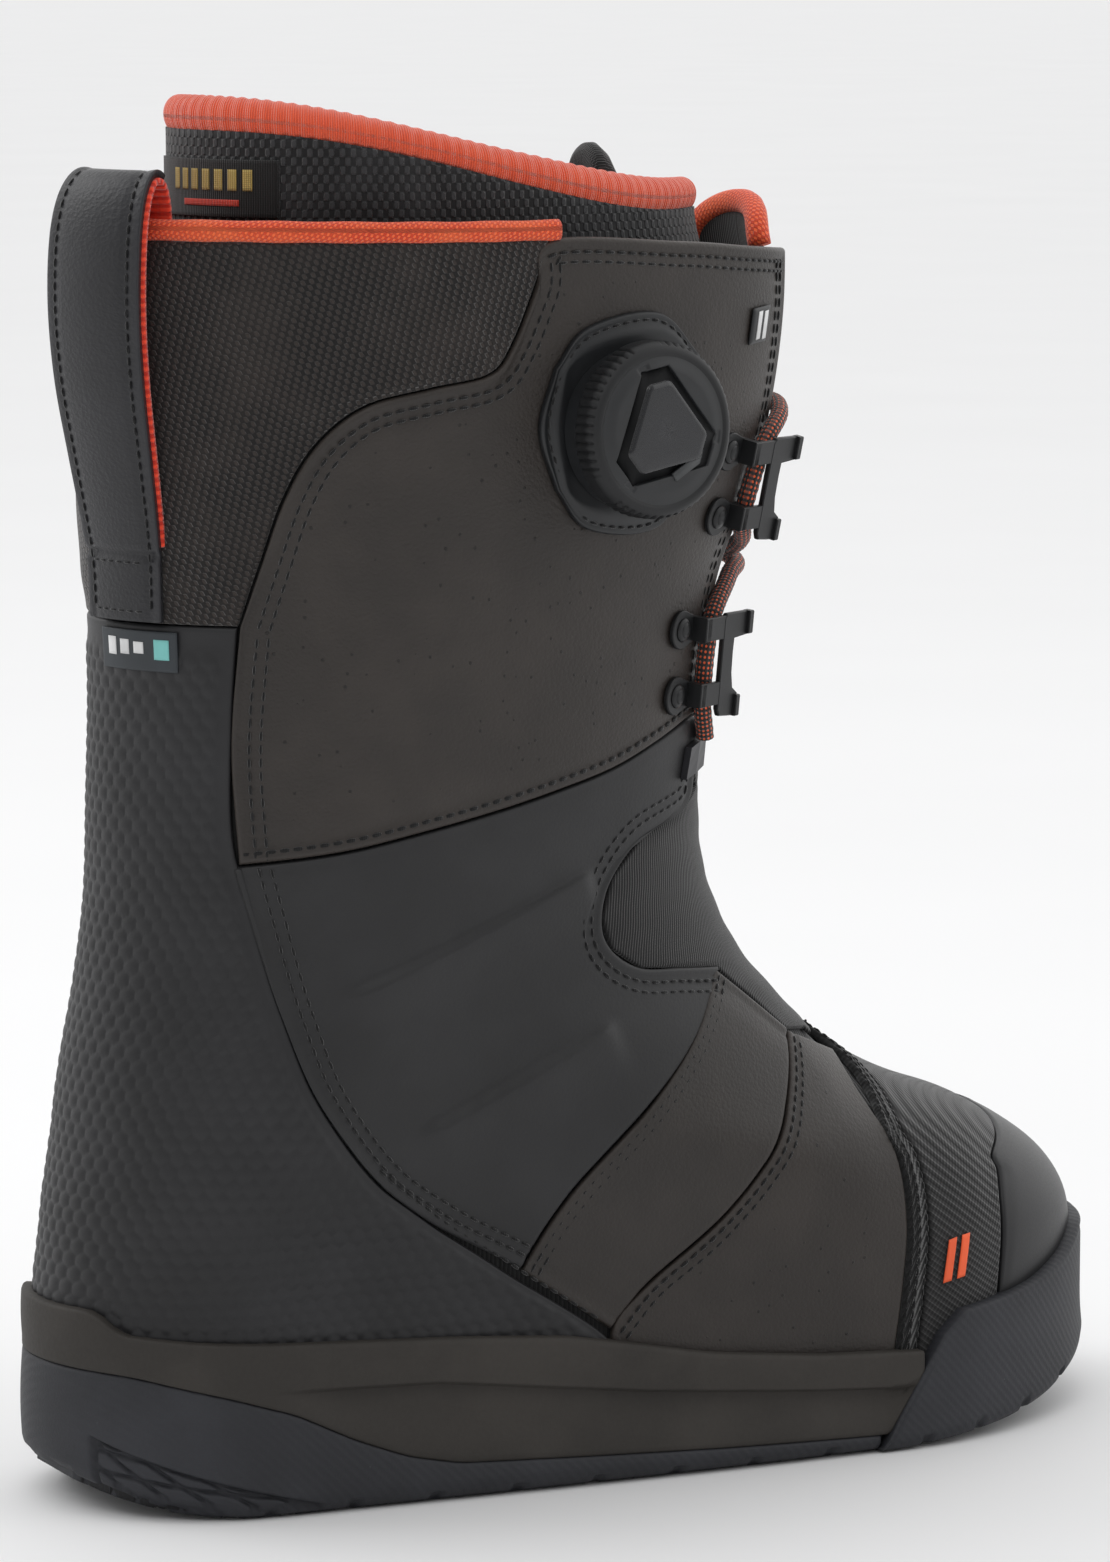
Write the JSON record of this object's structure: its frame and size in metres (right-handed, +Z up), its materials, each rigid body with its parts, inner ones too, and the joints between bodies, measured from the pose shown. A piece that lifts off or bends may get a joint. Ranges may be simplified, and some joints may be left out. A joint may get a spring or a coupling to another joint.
{
  "type": "snowboard boot",
  "caption": "Right-foot snowboard boot with a sewn shell, rubber sole, lace hooks, pull-out ratchet dial, heel pull loop and removable foam liner.",
  "frame": {"origin": "on the ground plane under the boot, 150 mm from each end along its length, on the shaft's middle line", "axes": "+X to the toe, +Y to the inner (medial) side, +Z up"},
  "size_m": [0.3042, 0.1302, 0.35],
  "materials": {
    "sole_rubber": "matte",
    "bumper_rubber": "matte",
    "tread_insert": "matte",
    "midsole_foam": "matte",
    "shank_steel": "satin",
    "fibreboard": "matte",
    "footbed_foam": "matte",
    "lining_fabric": "matte",
    "counter_plastic": "matte",
    "scale_panel": "matte",
    "collar_fabric": "matte",
    "orange_piping": "matte",
    "cuff_leather": "matte",
    "quarter_skin": "matte",
    "toe_fabric": "matte",
    "toe_rubber": "satin",
    "loop_leather": "satin",
    "loop_webbing": "matte",
    "tab_fabric": "matte",
    "badge_white": "satin",
    "badge_orange": "satin",
    "tongue_fabric": "matte",
    "lace_cord": "matte",
    "hook_metal": "satin",
    "dial_plastic": "satin",
    "dial_rubber": "matte",
    "dial_face": "gloss",
    "dial_works": "satin",
    "dial_metal": "satin",
    "steel_cable": "satin",
    "guide_plastic": "matte",
    "liner_knit": "matte",
    "liner_fleece": "matte",
    "liner_badge": "matte"
  },
  "bodies": {
    "boot": {"outsole": "sole_rubber", "toe_bumper": "bumper_rubber", "heel_tread_insert": "tread_insert", "midsole": "midsole_foam", "shank": "shank_steel", "lasting_board": "fibreboard", "footbed": "footbed_foam", "vamp_lining": "lining_fabric", "cuff_lining": "lining_fabric", "heel_counter": "counter_plastic", "heel_backstay": "scale_panel", "collar_mesh": "collar_fabric", "collar_piping": "orange_piping", "cuff_lateral": "cuff_leather", "cuff_medial": "cuff_leather", "quarter_lateral": "quarter_skin", "quarter_medial": "quarter_skin", "strap_lateral": "cuff_leather", "strap_medial": "cuff_leather", "vamp_lateral": "cuff_leather", "vamp_medial": "cuff_leather", "instep_gusset": "lining_fabric", "toe_tape": "toe_fabric", "toe_panel": "toe_fabric", "toe_cap": "toe_rubber", "pull_loop": "loop_leather", "pull_loop_webbing": "loop_webbing", "hang_tab": "tab_fabric", "cuff_badge": "badge_white", "toe_badge": "badge_orange", "tongue": "tongue_fabric", "tongue_binding": "orange_piping", "lace": "lace_cord", "lace_anchors": "loop_leather", "hook_upper_lateral": "hook_metal", "hook_lower_lateral": "hook_metal", "hook_upper_medial": "hook_metal", "hook_lower_medial": "hook_metal", "hook_rivets": "hook_metal", "dial_flange": "dial_plastic", "dial_housing": "dial_plastic", "dial_cable": "steel_cable", "cable_guides": "guide_plastic", "liner_foot": "liner_knit", "liner_shaft": "liner_knit", "liner_collar": "liner_fleece", "liner_tongue": "liner_knit", "liner_label": "liner_badge"},
    "dial_lift": {"dial_stem": "dial_metal"},
    "dial_turner": {"dial_knob": "dial_plastic", "dial_grip": "dial_rubber", "dial_cap": "dial_face", "dial_pawl_disc": "dial_works"},
    "dial_drum": {"dial_spool": "dial_metal"}
  },
  "joints": [
    {"name": "dial_pull", "type": "slide", "parent": "boot", "child": "dial_lift", "axis": [0.1561, -0.9877, 0], "range_m": [0, 0.003]},
    {"name": "dial_turn", "type": "hinge", "parent": "dial_lift", "child": "dial_turner", "pos_m": [-0.01604, -0.05592, 0.2687], "axis": [0.1561, -0.9877, 0], "continuous": true},
    {"name": "drum_turn", "type": "hinge", "parent": "boot", "child": "dial_drum", "pos_m": [-0.01604, -0.05592, 0.2687], "axis": [0.1561, -0.9877, 0], "continuous": true}
  ],
  "couplings": [
    {"joint": "drum_turn", "follows": "dial_turn", "ratio": 1}
  ]
}
